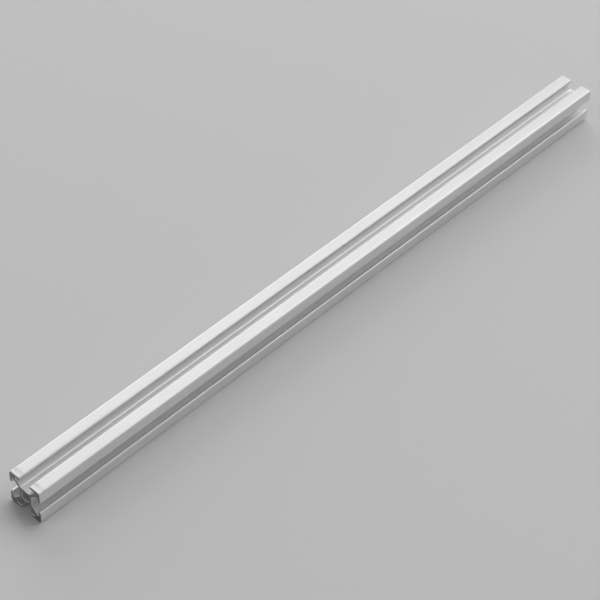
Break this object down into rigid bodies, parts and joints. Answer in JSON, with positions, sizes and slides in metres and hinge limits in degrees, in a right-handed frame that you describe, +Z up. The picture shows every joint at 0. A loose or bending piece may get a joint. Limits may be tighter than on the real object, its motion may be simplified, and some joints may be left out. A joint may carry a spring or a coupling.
{
  "type": "aluminium extrusion profile",
  "caption": "Square aluminium T-slot extrusion bar, slotted along every side and bored through its core, cut square for building frames.",
  "frame": {"origin": "centre of the side that the bar lies on, midway between its ends", "axes": "+Y along the bar, +Z up, +X across it"},
  "size_m": [0.02, 0.4, 0.02],
  "materials": {
    "anodised_aluminium": "clear satin anodised, with fine lengthwise die lines and bare sawn ends"
  },
  "bodies": {
    "root": {"profile_bar": "anodised_aluminium"}
  },
  "joints": []
}
